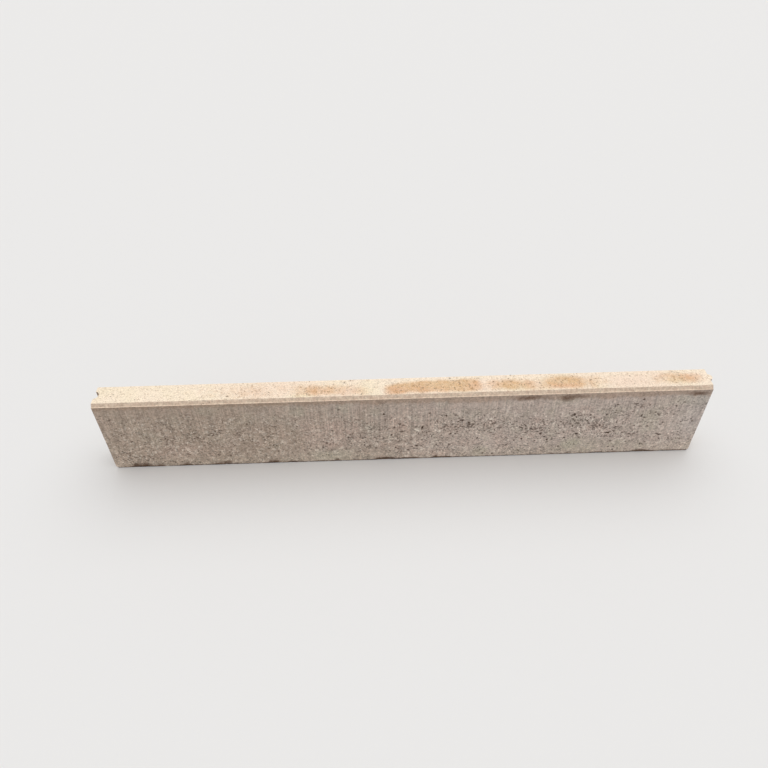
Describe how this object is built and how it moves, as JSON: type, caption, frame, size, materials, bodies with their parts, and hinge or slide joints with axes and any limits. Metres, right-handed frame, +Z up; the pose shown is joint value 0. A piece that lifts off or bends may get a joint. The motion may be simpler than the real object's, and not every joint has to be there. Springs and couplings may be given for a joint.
{
  "type": "concrete kerb stone",
  "caption": "Straight concrete kerb stone on a flat base, with bevelled long top edges, a half-round groove in one end and a matching tongue on the other.",
  "frame": {"origin": "in the middle of the base, halfway between the two flat end faces (the tongue is not counted in the length)", "axes": "+X along the stone, towards the end with the tongue; +Y from the front face to the back face; +Z up from the base"},
  "size_m": [1.0055, 0.05, 0.15],
  "materials": {
    "concrete": "matte"
  },
  "bodies": {
    "root": {"kerb_stone": "concrete"}
  },
  "joints": []
}
